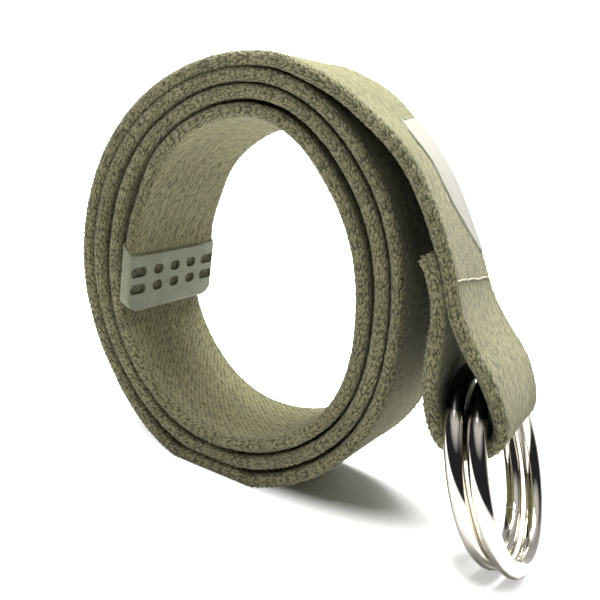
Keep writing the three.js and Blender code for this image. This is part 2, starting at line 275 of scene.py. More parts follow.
def bar_section(half_width, half_thick, round_radius, back_knobs, front_knobs):
    """A flat bar with round edges, clockwise from the front of its outer face.

    Returns, for each row and each point round the bar, how far across and how far up it lies.
    The edges are half circles drawn out to the bar's thickness. They swell a little past it, and
    the knobs stand out of them.
    """
    turn = np.linspace(0, math.pi, SELVEDGE_STEPS + 1)[:-1]
    flat = half_width - round_radius
    lift = half_thick - round_radius
    back = round_radius + EDGE_SWELL + back_knobs
    front = round_radius + EDGE_SWELL + front_knobs
    face = half_thick * np.ones(len(FACE_SHARES))
    across = np.concatenate([
        flat * FACE_SHARES,
        flat + back * np.sin(turn),
        -flat * FACE_SHARES,
        -flat - front * np.sin(turn),
    ], axis=1)
    up = np.concatenate([
        face,
        (lift + back) * np.cos(turn),
        -face,
        -(lift + front) * np.cos(turn),
    ], axis=1)
    return across, up


def closed_tube(name, points, along, around):
    """A mesh from a grid of points, closed round its section and capped at both ends.

    The UV map holds the distance along the piece and the distance round its section, both in
    metres, so that a woven pattern follows the cloth.
    """
    rows, size, _ = points.shape
    i, j = np.meshgrid(np.arange(rows - 1), np.arange(size), indexing="ij")
    k = (j + 1) % size
    quads = np.stack([i * size + j, (i + 1) * size + j, (i + 1) * size + k, i * size + k], axis=-1)
    first_cap = list(range(size))
    last_cap = [(rows - 1) * size + c for c in reversed(range(size))]
    faces = quads.reshape(-1, 4).tolist() + [first_cap, last_cap]
    mesh = bpy.data.meshes.new(name)
    mesh.from_pydata(points.reshape(-1, 3), [], faces)
    u = np.stack([along[i], along[i + 1], along[i + 1], along[i]], axis=-1)
    v = np.stack([around[j], around[j], around[j + 1], around[j + 1]], axis=-1)
    cap_v = around[first_cap + [c % size for c in last_cap]]
    cap_u = np.repeat([along[0], along[-1]], size)
    uv = np.vstack([np.stack([u, v], axis=-1).reshape(-1, 2), np.column_stack([cap_u, cap_v])])
    mesh.uv_layers.new(name="UVMap").data.foreach_set("uv", uv.astype(np.float32).ravel() * MM)
    mesh.shade_smooth()
    return mesh


def added(name, mesh, material):
    """A new object at the origin that shows a mesh in a material."""
    piece = bpy.data.objects.new(name, mesh)
    mesh.materials.append(material)
    bpy.context.scene.collection.objects.link(piece)
    return piece


def placed(tree, kind, sockets=None, **settings):
    """A new node. Each socket takes a value, or another node's output that is linked to it."""
    made = tree.nodes.new(kind)
    for key, value in settings.items():
        setattr(made, key, value)
    for key, value in (sockets or {}).items():
        if isinstance(value, bpy.types.NodeSocket):
            tree.links.new(value, made.inputs[key])
        else:
            made.inputs[key].default_value = value
    return made


def worked_out(tree, operation, *values):
    """The output of a Math node on two or three values or outputs."""
    return placed(tree, "ShaderNodeMath", dict(enumerate(values)), operation=operation).outputs[0]


def mixed(tree, share, first, second):
    """The output of a mix of two numbers, from the first at 0 to the second at 1."""
    return placed(tree, "ShaderNodeMix", {0: share, 2: first, 3: second}).outputs[0]


def mixed_colour(tree, share, first, second):
    """The output of a mix of two colours, from the first at 0 to the second at 1."""
    return placed(tree, "ShaderNodeMix", {0: share, 6: first, 7: second}, data_type="RGBA").outputs[2]


def new_group(name, inputs, outputs):
    """An empty shader node group with number sockets, and its two end nodes."""
    group = bpy.data.node_groups.new(name, "ShaderNodeTree")
    for socket in inputs:
        group.interface.new_socket(socket, in_out="INPUT", socket_type="NodeSocketFloat")
    for socket in outputs:
        group.interface.new_socket(socket, in_out="OUTPUT", socket_type="NodeSocketFloat")
    return group, placed(group, "NodeGroupInput"), placed(group, "NodeGroupOutput")


def woven_flecks():
    """A group for a woven pattern of uneven flecks, one about each point of a slanted grid.

    A cell is Length by Width, and cells lean by Slant cells for each cell across. Unevenness moves
    their middles about. With d the distance to the nearest middle in cells, Height is 1 - d,
    Gap rises as a smooth step from d = 0.2 to 0.75, and Chance is a random number for each cell.
    """
    names = ("Along", "Across", "Length", "Width", "Slant", "Unevenness")
    group, given, result = new_group("woven_flecks", names, ("Height", "Gap", "Chance"))
    cells_across = worked_out(group, "DIVIDE", given.outputs["Across"], given.outputs["Width"])
    straight = worked_out(group, "DIVIDE", given.outputs["Along"], given.outputs["Length"])
    cells_along = worked_out(group, "MULTIPLY_ADD", cells_across, given.outputs["Slant"], straight)
    place = placed(group, "ShaderNodeCombineXYZ", {"X": cells_along, "Y": cells_across})
    nearest = placed(group, "ShaderNodeTexVoronoi",
                     {"Vector": place.outputs[0], "Scale": 1.0, "Randomness": given.outputs["Unevenness"]},
                     voronoi_dimensions="2D")
    distance = nearest.outputs["Distance"]
    gap = stretched(group, distance, 0.2, 0.75, curve="SMOOTHSTEP")
    chance = placed(group, "ShaderNodeSeparateColor", {0: nearest.outputs["Color"]})
    group.links.new(worked_out(group, "SUBTRACT", 1, distance), result.inputs["Height"])
    group.links.new(gap, result.inputs["Gap"])
    group.links.new(chance.outputs[0], result.inputs["Chance"])
    return group


def woven(tree, group, along, across, length, width, slant, unevenness):
    """A woven_flecks group in a material, with its sizes in millimetres."""
    values = {"Along": along, "Across": across, "Length": length, "Width": width,
              "Slant": slant, "Unevenness": unevenness}
    made = placed(tree, "ShaderNodeGroup", values, node_tree=group)
    return made.outputs["Height"], made.outputs["Gap"], made.outputs["Chance"]


def coordinates_in_mm(tree):
    """The piece's UV map in millimetres: along the piece, and round its section."""
    uv = placed(tree, "ShaderNodeUVMap", uv_map="UVMap").outputs[0]
    return placed(tree, "ShaderNodeVectorMath", {0: uv, "Scale": 1 / MM}, operation="SCALE").outputs[0]


def own_value(tree, name):
    """The output that reads one of the mesh's own attributes."""
    return placed(tree, "ShaderNodeAttribute", attribute_name=name).outputs["Fac"]


def noise(tree, vector, scale, detail, output="Fac", **sockets):
    """The output of a Noise texture."""
    sockets = {"Vector": vector, "Scale": scale, "Detail": detail, **sockets}
    return placed(tree, "ShaderNodeTexNoise", sockets).outputs[output]


def stretched(tree, value, from_low, from_high, to_low=0.0, to_high=1.0, curve="LINEAR"):
    """The output of a Map Range node, which takes one range of values to another and stops there."""
    sockets = {"Value": value, "From Min": from_low, "From Max": from_high,
               "To Min": to_low, "To Max": to_high}
    return placed(tree, "ShaderNodeMapRange", sockets, interpolation_type=curve).outputs[0]


def add_bump(tree, surface, height, strength, distance):
    """A Bump node that tilts the surface by a height, with its distance in metres."""
    bump = placed(tree, "ShaderNodeBump", {"Height": height, "Strength": strength, "Distance": distance})
    tree.links.new(bump.outputs[0], surface.inputs["Normal"])


def new_material(name, **shader):
    """A material with a Principled shader whose own sockets hold the given values."""
    material = bpy.data.materials.new(name)
    material.use_nodes = True
    tree = material.node_tree
    tree.nodes.clear()
    surface = placed(tree, "ShaderNodeBsdfPrincipled", shader)
    placed(tree, "ShaderNodeOutputMaterial", {"Surface": surface.outputs[0]})
    return material, tree, surface


# Yarn colours: the lit crowns, browner and greener yarns among them, the gaps between the floats
# in painted shade, and the fluff on top.
YARN_OLIVE = (0.345, 0.330, 0.155, 1)
YARN_BROWN = (0.300, 0.262, 0.140, 1)
YARN_GREEN = (0.250, 0.268, 0.135, 1)
# The gap colour is painted shade in the hollows of the weave.
YARN_GAP = (0.060, 0.056, 0.036, 1)
YARN_FLUFF = (0.480, 0.468, 0.275, 1)
# Dashes and wider ribs on the two faces, and flecks on the selvedges. Columns: length along the
# webbing, width across it, slant, and unevenness.
FACE_DASH = (1.9, 1.0, 0.5, 0.4)
FACE_RIB = (12.0, 2.6, 0.5, 0.25)
SELVEDGE_FLECK = (1.05, 0.68, 0.75, 0.8)
# How far the yarns wander from straight rows, along and across.
YARN_WANDER = (0.9, 0.6, 0)
# How fine the noises are, in waves per millimetre: of the wander, the fibres, the blotches of
# greener yarn and the faded patches.
WANDER_FINENESS = 0.7
FIBRE_FINENESS = 2.4
BLOTCH_FINENESS = 0.45
PATCH_FINENESS = 0.06
# How much each of these shows in the gaps' darkness, which is painted shade: gaps between dashes,
# between ribs and between flecks, all over the selvedges, and between knobs.
DASH_GAPS = 0.9
RIB_GAPS = 0.25
FLECK_GAPS = 1.0
SELVEDGE_GAPS = 0.22
KNOB_GAPS = 0.3
DARKEST_GAP = 0.95
# How far a yarn is lighter or darker by chance, on the faces and on the selvedges, how much colour
# the painted shade takes inside the tip, the loop and the gap behind the tail, and how patches fade.
FACE_SWING = 0.25
SELVEDGE_SWING = 0.5
PAINTED_SHADE_LOSS = 0.5
PATCH_FADE = (0.92, 1.07)
# How much each of these stands out: ribs, dashes and fibres, against the flecks.
RIB_RELIEF = 0.9
DASH_RELIEF = 1.0
FIBRE_RELIEF = 0.7


def cotton_webbing():
    """The webbing's material: short floats with painted shade in the specks between, fluff and fading."""
    material, tree, surface = new_material("cotton_webbing", **{
        "Roughness": 0.92,
        "Sheen Weight": 0.12,
        "Sheen Roughness": 0.6,
        "Specular IOR Level": 0.2,
    })
    group = woven_flecks()
    in_mm = coordinates_in_mm(tree)
    wander = noise(tree, in_mm, WANDER_FINENESS, 2.0, output="Color")
    off_line = placed(tree, "ShaderNodeVectorMath", {0: wander, 1: (0.5, 0.5, 0.5)}, operation="SUBTRACT")
    moved = placed(tree, "ShaderNodeVectorMath", {0: off_line.outputs[0], 1: YARN_WANDER, 2: in_mm},
                   operation="MULTIPLY_ADD")
    place = placed(tree, "ShaderNodeSeparateXYZ", {0: moved.outputs[0]})
    along = place.outputs["X"]
    across = place.outputs["Y"]
    from_ridge = own_value(tree, "from_ridge")
    selvedge = own_value(tree, "selvedge")
    dash, dash_gap, dash_chance = woven(tree, group, along, across, *FACE_DASH)
    rib, rib_gap, rib_chance = woven(tree, group, along, across, *FACE_RIB)
    fleck, fleck_gap, fleck_chance = woven(tree, group, along, from_ridge, *SELVEDGE_FLECK)
    fibres = noise(tree, in_mm, FIBRE_FINENESS, 4.0)
    blotches = noise(tree, in_mm, BLOTCH_FINENESS, 3.0)
    patches = noise(tree, in_mm, PATCH_FINENESS, 3.0)

    # Yarns of three colours, with pale fluff on the crowns of the dashes.
    chance = mixed(tree, selvedge, dash_chance, fleck_chance)
    brown = mixed_colour(tree, chance, YARN_OLIVE, YARN_BROWN)
    yarn = mixed_colour(tree, worked_out(tree, "MULTIPLY", rib_chance, blotches), brown, YARN_GREEN)
    fluff = worked_out(tree, "MULTIPLY", fibres, worked_out(tree, "MULTIPLY_ADD", dash, 0.45, 0.1))
    fluffed = mixed_colour(tree, fluff, yarn, YARN_FLUFF)

    # Dark gaps between them, painted shade in the weave, which the fibres bridge here and there.
    dash_share = worked_out(tree, "MULTIPLY", dash_gap, DASH_GAPS)
    face_gap = worked_out(tree, "MULTIPLY_ADD", rib_gap, RIB_GAPS, dash_share)
    fleck_share = worked_out(tree, "MULTIPLY_ADD", fleck_gap, FLECK_GAPS, SELVEDGE_GAPS)
    edge_gap = worked_out(tree, "MULTIPLY_ADD", own_value(tree, "stands_out"), -KNOB_GAPS, fleck_share)
    open_share = worked_out(tree, "MULTIPLY_ADD", fibres, 3.4, -0.85)
    uneven = worked_out(tree, "MULTIPLY", mixed(tree, selvedge, face_gap, edge_gap), open_share)
    dark = worked_out(tree, "MINIMUM", worked_out(tree, "MAXIMUM", uneven, 0.0), DARKEST_GAP)
    gapped = mixed_colour(tree, dark, fluffed, YARN_GAP)

    # Lighter and darker yarns, painted shade inside the tip, the loop and the gap behind the tail, and
    # faded patches.
    swing = mixed(tree, selvedge, FACE_SWING, SELVEDGE_SWING)
    lighter = worked_out(tree, "MULTIPLY_ADD", worked_out(tree, "SUBTRACT", chance, 0.5), swing, 1)
    # Painted shade darkens the webbing inside the tip, deep in the loop and in the gap behind the tail.
    painted_shade_factor = worked_out(tree, "MULTIPLY_ADD", own_value(tree, "painted_shade"), -PAINTED_SHADE_LOSS, 1)
    fade = stretched(tree, patches, 0.3, 0.7, *PATCH_FADE)
    shade = worked_out(tree, "MULTIPLY", worked_out(tree, "MULTIPLY", lighter, painted_shade_factor), fade)
    faded = placed(tree, "ShaderNodeVectorMath", {0: gapped, "Scale": shade}, operation="SCALE")
    tree.links.new(faded.outputs[0], surface.inputs["Base Color"])

    dash_height = worked_out(tree, "MULTIPLY", dash, DASH_RELIEF)
    face_height = worked_out(tree, "MULTIPLY_ADD", rib, RIB_RELIEF, dash_height)
    height = mixed(tree, selvedge, face_height, fleck)
    relief = worked_out(tree, "MULTIPLY_ADD", fibres, FIBRE_RELIEF, height)
    add_bump(tree, surface, relief, 0.9, 0.0004)
    return material


line, length_along, tail_along = webbing_line()
face_out = out_of_face(line)
half_width = (WEBBING_WIDTH / 2 - line[:, PINCH])[:, None]
half_thick = (line[:, THICK] / 2)[:, None]
edge_round = np.minimum(SELVEDGE_ROUND, half_thick * 0.9)
edge_turn = np.linspace(0, math.pi, SELVEDGE_STEPS + 1)[:-1]
back_knobs = knob_heights(length_along, seed=11)
front_knobs = knob_heights(length_along, seed=12)
loose = LOOSE_SWELL * np.exp((length_along - length_along[-1]) / LOOSE_LENGTH)[:, None]
across, up = bar_section(
    half_width, half_thick + loose, edge_round, KNOB_HEIGHT * back_knobs, KNOB_HEIGHT * front_knobs
)
up = up + loose
steps_round = np.hypot(np.diff(across[-1], append=across[-1, 0]), np.diff(up[-1], append=up[-1, 0]))
distance_round = np.concatenate([[0], np.cumsum(steps_round)])
webbing_mesh = closed_tube(
    "webbing_strap_cloth", webbing_points(line, face_out, across, up), length_along, distance_round
)
# How much of a selvedge each point belongs to, how far its knob stands out, how much painted shade
# darkens it inside the tip, the loop or behind the tail, and how far round the edge it lies from its
# outermost line.
face_share = np.zeros(len(FACE_SHARES))
face_share[0] = 0.5
edge_share = np.clip(np.sin(edge_turn) * 2, 0.5, 1)
selvedge_share = np.tile(np.concatenate([face_share, edge_share, face_share, edge_share]), len(line))
face_flat = np.zeros((len(line), len(FACE_SHARES)))
knob_share = np.concatenate([face_flat, back_knobs, face_flat, front_knobs], axis=1)
in_tip = np.clip((COVERED_LENGTH + PAINTED_SHADE_FADE - length_along) / PAINTED_SHADE_FADE, 0, 1)[:, None]
in_loop = np.clip(1 - np.abs(tail_along - LOOP_MIDDLE) / LOOP_REACH, 0, 1)[:, None] ** 0.5
behind_tail = np.clip(GAP_DARKNESS - np.abs(tail_along - GAP_MIDDLE) / GAP_REACH, 0, 1)[:, None]
inner_face = np.clip(-up / WEBBING_THICK * 2, 0, 1)
outer_face = np.clip(up / WEBBING_THICK * 2, 0, 1)
painted_shade_share = np.maximum(in_tip, np.maximum(in_loop * inner_face, behind_tail * outer_face)).ravel()
ridge_turn = np.abs(edge_turn - math.pi / 2)
face_turn = np.full(len(FACE_SHARES), math.pi / 2)
ridge_share = np.tile(np.concatenate([face_turn, ridge_turn, face_turn, ridge_turn]), len(line))
for attribute_name, values in (
    ("selvedge", selvedge_share), ("stands_out", knob_share.ravel()), ("painted_shade", painted_shade_share),
    ("from_ridge", ridge_share * WEBBING_THICK / 2),
):
    attribute = webbing_mesh.attributes.new(attribute_name, "FLOAT", "POINT")
    attribute.data.foreach_set("value", values.astype(np.float32))
webbing = added("webbing", webbing_mesh, cotton_webbing())
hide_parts("webbing_strap")
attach(webbing, "root")

# The end tip.
# A flat moulded plastic cap is pressed over the cut end, open at the top, with two rows of holes.
# Its edges are rounded where the mould parts, so its solid is welded and softly bevelled here.
TIP_BEVEL = 0.22 * MM
TIP_GREEN = (0.205, 0.215, 0.138, 1)
TIP_PALE = (0.270, 0.280, 0.185, 1)
SHARP_ANGLE = math.radians(32)
# Points nearer than this are one point, in metres, and faces within this angle are one flat.
WELD_DISTANCE = 1e-6
FLAT_ANGLE = math.radians(0.5)


def moulded_plastic():
    """The tip's material: satin grey-green plastic with faint flow marks and a fine grain."""
    material, tree, surface = new_material("moulded_plastic", **{"Roughness": 0.5})
    place = placed(tree, "ShaderNodeTexCoord").outputs["Object"]
    flow = noise(tree, place, 90.0, 3.0, Distortion=1.5)
    grain = noise(tree, place, 2500.0, 2.0)
    colour = mixed_colour(tree, stretched(tree, flow, 0.35, 0.7), TIP_GREEN, TIP_PALE)
    tree.links.new(colour, surface.inputs["Base Color"])
    tree.links.new(stretched(tree, grain, 0, 1, 0.42, 0.62), surface.inputs["Roughness"])
    add_bump(tree, surface, grain, 0.25, 0.00006)
    return material


def welded_copy(node_name, mesh_name):
    """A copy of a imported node's mesh with its loose triangles welded and its flats made whole."""
    shape = bmesh.new()
    shape.from_mesh(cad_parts[node_name].data)
    bmesh.ops.remove_doubles(shape, verts=shape.verts, dist=WELD_DISTANCE)
    bmesh.ops.dissolve_limit(shape, angle_limit=FLAT_ANGLE, verts=shape.verts, edges=shape.edges)
    mesh = bpy.data.meshes.new(mesh_name)
    shape.to_mesh(mesh)
    shape.free()
    mesh.shade_smooth()
    mesh.set_sharp_from_angle(angle=SHARP_ANGLE)
    mesh.materials.clear()
    return mesh


tip = added("tip", welded_copy("end_tip", "end_tip_plastic"), moulded_plastic())
bevel = tip.modifiers.new("soft_edges", "BEVEL")
bevel.width = TIP_BEVEL
bevel.segments = 3
bevel.limit_method = "ANGLE"
bevel.angle_limit = SHARP_ANGLE
bevel.harden_normals = True
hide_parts("end_tip")
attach(tip, "root")

# The rings.
# Two rings are bent from steel wire, butt welded and nickel plated to a mirror finish. They hang
# in the sewn loop, and each shows its weld as a fine groove in a slight swelling.
WIRE_RADIUS = 2.3
RING_RADIUS = 23.0
RING_LEAN = math.radians(23.5)
RING_HEIGHT = RING_RADIUS * math.cos(RING_LEAN) + WIRE_RADIUS
# Each ring's place along X, and its weld in degrees from the back, upwards.
RINGS = {"ring_inner": (52.2, -50.0), "ring_outer": (57.7, -115.0)}
WELD_SWELLING = 0.035
WELD_WIDTH = 1.1
GROOVE_DEPTH = 0.07
GROOVE_WIDTH = 0.14
RING_STEPS = 256
WIRE_STEPS = 48
NICKEL = (0.84, 0.81, 0.74, 1)
NICKEL_WARM = (0.80, 0.75, 0.65, 1)
# Deep in the loop the plate takes painted shade from this height, and is duller towards the top
# of the ring.
NICKEL_PAINTED_SHADE = (0.030, 0.030, 0.028, 1)
PAINTED_SHADE_HEIGHT = 38.0
PAINTED_SHADE_RISE = 8.0
# The painted shade is full this share of the way up that rise.
DARK_SHARE = 0.25


def bright_nickel():
    """The rings' material: bright plate with faint drawn lines, hazy spots, a warm cast and painted shade
    in the loop.
    """
    material, tree, surface = new_material("bright_nickel", **{"Metallic": 1.0})
    in_mm = coordinates_in_mm(tree)
    drawn = placed(tree, "ShaderNodeMapping", {0: in_mm, "Scale": (0.06, 2.2, 1.0)})
    lines = noise(tree, drawn.outputs[0], 1.5, 3.0)
    haze = noise(tree, in_mm, 0.12, 2.0)
    painted_shade = own_value(tree, "painted_shade")
    duller = worked_out(tree, "MULTIPLY_ADD", painted_shade, 0.5, stretched(tree, lines, 0, 1, 0.05, 0.13))
    tree.links.new(duller, surface.inputs["Roughness"])
    # Deep in the loop the plate is mixed towards near black, a painted shade.
    darker = worked_out(tree, "MINIMUM", worked_out(tree, "DIVIDE", painted_shade, DARK_SHARE), 1)
    plate = mixed_colour(tree, haze, NICKEL_WARM, NICKEL)
    tree.links.new(mixed_colour(tree, darker, plate, NICKEL_PAINTED_SHADE), surface.inputs["Base Color"])
    add_bump(tree, surface, lines, 0.15, 0.00003)
    return material


def ring_mesh(name, place_x, weld_degrees):
    """A torus leaning towards the roll, finer near its weld.

    At angle a round the ring from the back, upwards, and t round the wire, a point is the centre
    plus (R + r cos t) times (cos a back + sin a up the ring) plus r sin t along the ring's axis.
    The wire's radius r swells at the weld as one bell curve and dips in it as a narrow one.
    """
    weld = math.radians(weld_degrees)
    fine = np.linspace(-3, 3, 61) * GROOVE_WIDTH / RING_RADIUS
    around_ring = np.linspace(0, 2 * math.pi, RING_STEPS, endpoint=False) + weld + math.pi / RING_STEPS
    far_enough = np.abs((around_ring - weld + math.pi) % (2 * math.pi) - math.pi) > fine[-1]
    angle = np.concatenate([weld + fine, np.sort(around_ring[far_enough] % (2 * math.pi))])
    angle = weld + np.sort((angle - weld) % (2 * math.pi))
    from_weld = ((angle - weld + math.pi) % (2 * math.pi) - math.pi) * RING_RADIUS
    swelling = WELD_SWELLING * np.exp(-(from_weld / WELD_WIDTH) ** 2)
    groove = GROOVE_DEPTH * np.exp(-(from_weld / GROOVE_WIDTH) ** 2)
    wire = (WIRE_RADIUS * (1 + swelling - groove))[:, None]
    turn = np.linspace(0, 2 * math.pi, WIRE_STEPS, endpoint=False)[None, :]
    up_ring = np.array([-math.sin(RING_LEAN), 0, math.cos(RING_LEAN)])
    back = np.array([0.0, 1.0, 0.0])
    axis = np.cross(back, up_ring)
    outward = np.cos(angle)[:, None] * back + np.sin(angle)[:, None] * up_ring
    centre = np.array([place_x + CENTRE_SHIFT, 0, RING_HEIGHT])
    reach = (RING_RADIUS + wire * np.cos(turn))[..., None]
    points = (centre + reach * outward[:, None, :] + (wire * np.sin(turn))[..., None] * axis) * MM
    steps, sides = len(angle), WIRE_STEPS
    i, j = np.meshgrid(np.arange(steps), np.arange(sides), indexing="ij")
    next_i, next_j = (i + 1) % steps, (j + 1) % sides
    here, ahead = i * sides, next_i * sides
    quads = np.stack([here + j, ahead + j, ahead + next_j, here + next_j], axis=-1)
    mesh = bpy.data.meshes.new(name)
    mesh.from_pydata(points.reshape(-1, 3), [], quads.reshape(-1, 4).tolist())
    along = np.append(angle, angle[0] + 2 * math.pi) * RING_RADIUS
    round_wire = np.append(turn[0], 2 * math.pi) * WIRE_RADIUS
    u = np.stack([along[i], along[i + 1], along[i + 1], along[i]], axis=-1)
    v = np.stack([round_wire[j], round_wire[j], round_wire[j + 1], round_wire[j + 1]], axis=-1)
    uv = np.stack([u, v], axis=-1).reshape(-1) * MM
    mesh.uv_layers.new(name="UVMap").data.foreach_set("uv", uv.astype(np.float32))
    # How far up into the loop each point lies, which sets the plate's painted shade.
    painted_shade = np.clip((points[..., 2] / MM - PAINTED_SHADE_HEIGHT) / PAINTED_SHADE_RISE, 0, 1)
    attribute = mesh.attributes.new("painted_shade", "FLOAT", "POINT")
    attribute.data.foreach_set("value", painted_shade.astype(np.float32).ravel())
    mesh.shade_smooth()
    return mesh


nickel = bright_nickel()
for node_name, (place_x, weld_degrees) in RINGS.items():
    ring = added(node_name + "_wire", ring_mesh(node_name + "_plated", place_x, weld_degrees), nickel)
    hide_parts(node_name)
    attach(ring, "root")

# The seam.
# One row of lockstitch in thick cream thread goes across both plies of the tail and closes the
# loop. Each stitch is a short length of thread whose ends sink into the cloth.
SEAM_ALONG = 76.0
SEAM_SLANT = 1.8
SEAM_WANDER = 0.25
# The seam stops this far short of the two edges together.
SEAM_SHORT = 2.0
STITCHES = 14
STITCH_LENGTH = 2.75
STITCH_POINTS = 11
THREAD_RADIUS = 0.21
# How far, in its own radii, a thread's middle stands off the cloth, and how far its ends dive.
STITCH_PROUD = 0.9
STITCH_DIVE = 1.6
# A direction that no thread runs in, and the least that a thread's end keeps of its section.
NOT_ALONG_A_THREAD = np.array([0.3, 0.1, 1.0])
THREAD_END_SHARE = 0.02
THREAD_CREAM = (0.80, 0.76, 0.60, 1)
THREAD_SHADE = (0.55, 0.50, 0.36, 1)


def cotton_thread():
    """The seam's material: cream thread with the twist of its two plies."""
    material, tree, surface = new_material("cotton_thread", **{"Roughness": 0.75, "Sheen Weight": 0.3})
    uv = placed(tree, "ShaderNodeUVMap", uv_map="UVMap").outputs[0]
    turned = placed(tree, "ShaderNodeMapping", {0: uv, "Rotation": (0, 0, math.radians(38))}).outputs[0]
    sockets = {"Vector": turned, "Scale": 900.0, "Distortion": 1.0}
    twist = placed(tree, "ShaderNodeTexWave", sockets).outputs["Fac"]
    cream = mixed_colour(tree, twist, THREAD_SHADE, THREAD_CREAM)
    tree.links.new(cream, surface.inputs["Base Color"])
    add_bump(tree, surface, twist, 0.6, 0.00008)
    return material


def at_tail(along, across, up):
    """Points in metres at distances along the tail, across it and out of its outer face."""
    rows = np.column_stack([np.interp(along, tail_along, column) for column in line.T])
    out = np.column_stack([np.interp(along, tail_along, column) for column in face_out.T])
    return webbing_points(rows, out, across[:, None], up[:, None])[:, 0]


def thread_mesh(name, paths, radius):
    """Round threads along paths, each a grid of rings that grow small at its two ends.

    Each ring lies in the plane across its path. Its radius is that of the thread times the
    square root of one minus the fourth power of the place from -1 to 1 along the path, where
    that difference is kept from falling below a small share. A known fault: the faces point
    inwards.
    """
    sides = 8
    turn = np.linspace(0, 2 * math.pi, sides, endpoint=False)[None, :, None]
    vertices, faces, uvs = [], [], []
    for path in paths:
        steps = len(path)
        run = np.gradient(path, axis=0)
        run /= np.linalg.norm(run, axis=1)[:, None]
        side = np.cross(run, NOT_ALONG_A_THREAD)
        side /= np.linalg.norm(side, axis=1)[:, None]
        top = np.cross(side, run)
        place = np.linspace(-1, 1, steps)
        thick = radius * np.sqrt(np.maximum(1 - place ** 4, THREAD_END_SHARE))
        ring = np.cos(turn) * side[:, None, :] + np.sin(turn) * top[:, None, :]
        first = sum(len(v) for v in vertices)
        vertices.append((path[:, None, :] + ring * thick[:, None, None]).reshape(-1, 3))
        i, j = np.meshgrid(np.arange(steps - 1), np.arange(sides), indexing="ij")
        k = (j + 1) % sides
        here, ahead = i * sides, (i + 1) * sides
        quads = np.stack([here + j, here + k, ahead + k, ahead + j], axis=-1)
        faces += (quads.reshape(-1, 4) + first).tolist()
        faces.append([first + c for c in reversed(range(sides))])
        faces.append([first + (steps - 1) * sides + c for c in range(sides)])
        length = np.linspace(0, STITCH_LENGTH * MM, steps)
        width = np.linspace(0, 2 * math.pi * radius, sides + 1)
        u = np.stack([length[i], length[i], length[i + 1], length[i + 1]], axis=-1)
        v = np.stack([width[j], width[j + 1], width[j + 1], width[j]], axis=-1)
        uvs.append(np.stack([u, v], axis=-1).reshape(-1, 2))
        uvs.append(np.zeros((2 * sides, 2)))
    mesh = bpy.data.meshes.new(name)
    mesh.from_pydata(np.vstack(vertices), [], faces)
    mesh.uv_layers.new(name="UVMap").data.foreach_set("uv", np.vstack(uvs).astype(np.float32).ravel())
    mesh.shade_smooth()
    return mesh


stitch_paths = []
wobble = np.random.default_rng(7).uniform(-1, 1, (STITCHES, 2))
for number, (start_off, end_off) in enumerate(wobble):
    middle = (number + 0.5 - STITCHES / 2) * (WEBBING_WIDTH - SEAM_SHORT) / STITCHES
    share = np.linspace(-1, 1, STITCH_POINTS)
    stitch_across = middle + share * STITCH_LENGTH / 2
    slanted = SEAM_ALONG + SEAM_SLANT * stitch_across / WEBBING_WIDTH * 2
    stitch_along = slanted + SEAM_WANDER * np.interp(share, [-1, 1], [start_off, end_off])
    stitch_up = WEBBING_THICK / 2 + THREAD_RADIUS * (STITCH_PROUD - STITCH_DIVE * share ** 4)
    stitch_paths.append(at_tail(stitch_along, stitch_across, stitch_up))
seam_mesh = thread_mesh("seam_thread", stitch_paths, THREAD_RADIUS * MM)
seam = added("seam_stitches", seam_mesh, cotton_thread())
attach(seam, "root")

# The frayed end.
# The webbing's cut end lies behind the tail. Short ends of yarn stand out of the cut, most of them
# bent a little towards the roll.
FRAY_COUNT = 150
FRAY_RADIUS = 0.17
FRAY_SHORTEST = 0.2
FRAY_LONGEST = 0.9
FRAY_POINTS = 6
# A yarn starts this far inside the cloth, and between these shares of its thickness from the middle.
FRAY_ROOT = 0.4
FRAY_FROM_MIDDLE = (-0.35, 0.6)
# How far yarns bend out of the outer face and to either side.
FRAY_BEND_OUT = (-0.25, 0.9)
FRAY_BEND_ASIDE = 0.7


def loose_cotton():
    """The loose yarns' material: the webbing's olive, changing from yarn to yarn."""
    material, tree, surface = new_material("loose_cotton", **{"Roughness": 0.92, "Sheen Weight": 0.12})
    place = placed(tree, "ShaderNodeTexCoord").outputs["Object"]
    shade = stretched(tree, noise(tree, place, 1100.0, 1.0), 0.35, 0.65)
    tree.links.new(mixed_colour(tree, shade, YARN_BROWN, YARN_FLUFF), surface.inputs["Base Color"])
    return material


loose_yarns = np.random.default_rng(21)
end_run = line[-1, [X, Z]] - line[-8, [X, Z]]
end_run = np.array([end_run[0], 0, end_run[1]]) / np.linalg.norm(end_run)
fray_paths = []
for fray_across in np.linspace(-WEBBING_WIDTH / 2 + 1, WEBBING_WIDTH / 2 - 1, FRAY_COUNT):
    fray_length = loose_yarns.uniform(FRAY_SHORTEST, FRAY_LONGEST)
    bend_out = loose_yarns.uniform(*FRAY_BEND_OUT)
    bend_aside = loose_yarns.uniform(-FRAY_BEND_ASIDE, FRAY_BEND_ASIDE)
    fray_up = loose_yarns.uniform(*FRAY_FROM_MIDDLE, 1) * WEBBING_THICK
    root = at_tail(tail_along[-1:], np.array([fray_across]), fray_up)
    reach = np.linspace(-FRAY_ROOT, fray_length, FRAY_POINTS)[:, None]
    bent = np.sign(reach) * reach ** 2 / FRAY_LONGEST
    bend = bend_out * face_out[-1] + bend_aside * np.array([0, 1, 0])
    fray_paths.append(root + (reach * end_run + bent * bend) * MM)
frayed_mesh = thread_mesh("frayed_yarns", fray_paths, FRAY_RADIUS * MM)
frayed = added("frayed_end", frayed_mesh, loose_cotton())
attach(frayed, "root")

# The film strip.
# A blank strip of milky film lies on the tail's outer face, from the middle of the webbing to its
# back edge. Its upper end runs at a slight slant from the front corner to the back one, and its
# lower end at a long one. It clings to the weave.
FILM_FRONT_START = 32.4
FILM_BACK_START = 30.2
FILM_END = 70.8
FILM_BACK = 18.6
